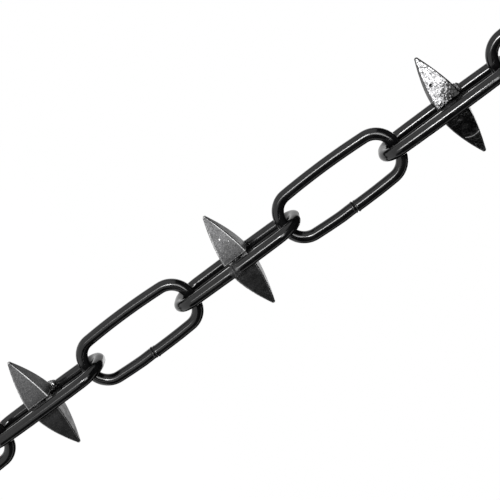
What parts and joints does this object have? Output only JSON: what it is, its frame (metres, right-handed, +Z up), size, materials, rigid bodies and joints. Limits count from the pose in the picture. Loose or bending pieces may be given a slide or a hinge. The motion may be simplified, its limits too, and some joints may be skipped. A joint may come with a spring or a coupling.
{
  "type": "decorative spike chain",
  "caption": "Heavy black long-link chain that hangs by its end link; every other link carries opposed pyramid spikes welded across its loop.",
  "frame": {"origin": "the point inside the top link's upper crown where a hook bears", "axes": "+Z up along the hanging chain, +X along the right-hand spikes, +Y to the rear side of the spiked links"},
  "size_m": [0.0554, 0.032, 0.441],
  "materials": {
    "wire": "glossy black lacquer over round steel wire",
    "spike": "satin blackened casting with pits and burnished edges",
    "weld": "rippled weld metal under black lacquer"
  },
  "bodies": {
    "link_1": {"link_1": "wire"},
    "link_2": {"link_2": "wire", "spike_2_left": "spike", "spike_2_right": "spike", "weld_2_left_front": "weld", "weld_2_left_rear": "weld", "weld_2_right_front": "weld", "weld_2_right_rear": "weld"},
    "link_3": {"link_3": "wire"},
    "link_4": {"link_4": "wire", "spike_4_left": "spike", "spike_4_right": "spike", "weld_4_left_front": "weld", "weld_4_left_rear": "weld", "weld_4_right_front": "weld", "weld_4_right_rear": "weld"},
    "link_5": {"link_5": "wire"},
    "link_6": {"link_6": "wire", "spike_6_left": "spike", "spike_6_right": "spike", "weld_6_left_front": "weld", "weld_6_left_rear": "weld", "weld_6_right_front": "weld", "weld_6_right_rear": "weld"},
    "link_7": {"link_7": "wire"}
  },
  "joints": [
    {"name": "swing_2", "type": "hinge", "parent": "link_1", "child": "link_2", "pos_m": [0, 0, -0.0624], "axis": [1, 0, 0], "range_deg": [-150, 150]},
    {"name": "swing_3", "type": "hinge", "parent": "link_2", "child": "link_3", "pos_m": [0, 0, -0.1265], "axis": [0, 1, 0], "range_deg": [-115, 115]},
    {"name": "swing_4", "type": "hinge", "parent": "link_3", "child": "link_4", "pos_m": [0, 0, -0.1856], "axis": [-1, 0, 0], "range_deg": [-150, 150]},
    {"name": "swing_5", "type": "hinge", "parent": "link_4", "child": "link_5", "pos_m": [0, 0, -0.2497], "axis": [0, -1, 0], "range_deg": [-115, 115]},
    {"name": "swing_6", "type": "hinge", "parent": "link_5", "child": "link_6", "pos_m": [0, 0, -0.3088], "axis": [1, 0, 0], "range_deg": [-150, 150]},
    {"name": "swing_7", "type": "hinge", "parent": "link_6", "child": "link_7", "pos_m": [0, 0, -0.3729], "axis": [0, 1, 0], "range_deg": [-115, 115]}
  ]
}
